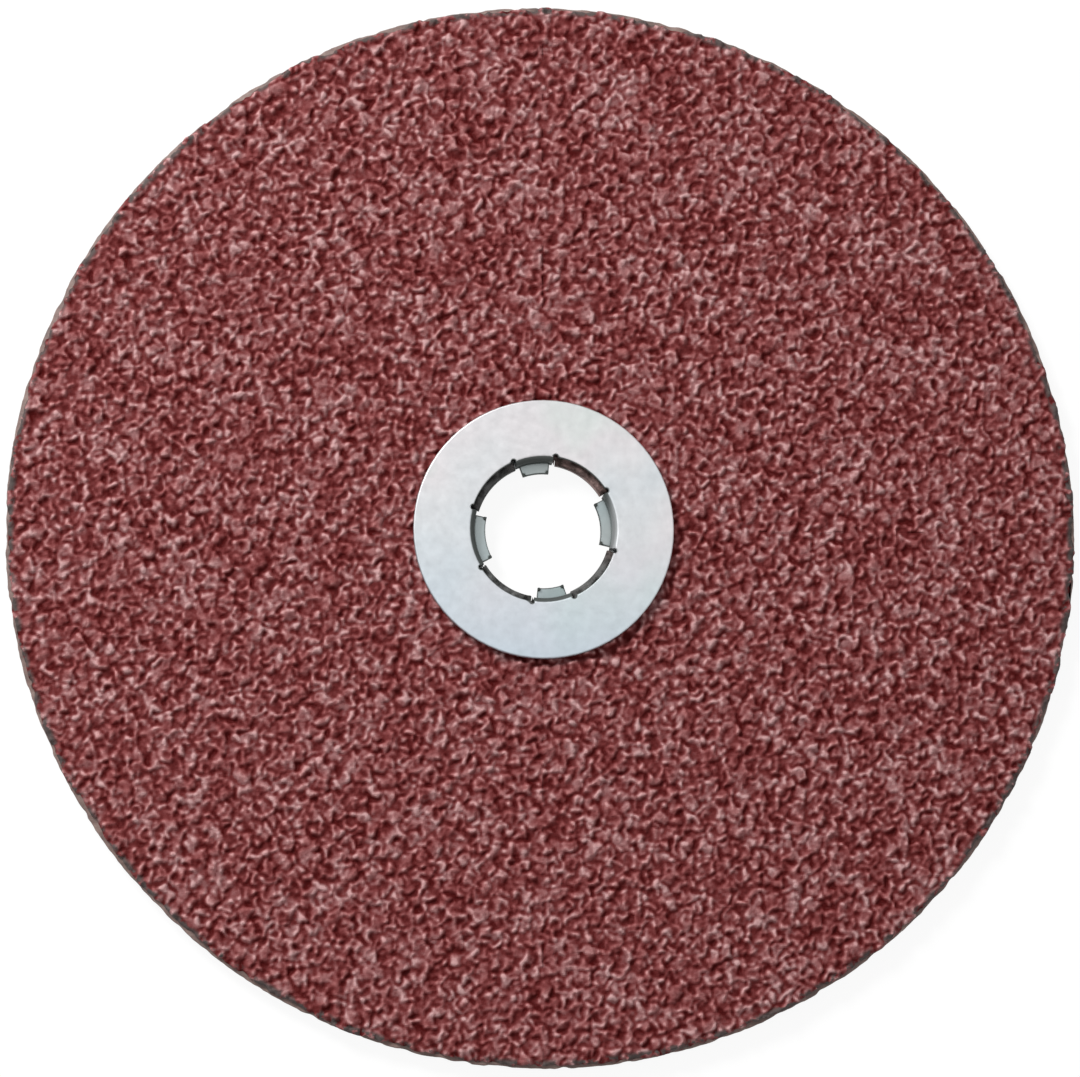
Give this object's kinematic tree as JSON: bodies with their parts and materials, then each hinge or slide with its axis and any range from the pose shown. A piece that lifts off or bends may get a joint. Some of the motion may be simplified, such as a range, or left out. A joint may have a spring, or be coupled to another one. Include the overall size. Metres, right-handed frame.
{
  "type": "fibre sanding disc",
  "caption": "Round fibre-backed sanding disc for an angle grinder, with coarse maroon grain on one face and a clinched steel hub ring with inward bayonet lugs in its centre hole.",
  "frame": {"origin": "on the disc's axis, in the plane of the hub's folded claw ends, on which the disc lies", "axes": "+Z along the disc's axis, out of its abrasive side; +X towards a wide claw and +Y towards a narrow one, both turned back by 7.5 degrees"},
  "size_m": [0.125, 0.125, 0.0041],
  "materials": {
    "vulcanised_fibre": "smooth pressed fibre, matte",
    "maroon_grain": "coarse abrasive grain set in resin",
    "zinc_plated_steel": "satin zinc plating"
  },
  "bodies": {
    "root": {"fibre_backing": "vulcanised_fibre", "abrasive_coat": "maroon_grain", "front_ring": "zinc_plated_steel", "rear_ring": "zinc_plated_steel"}
  },
  "joints": []
}
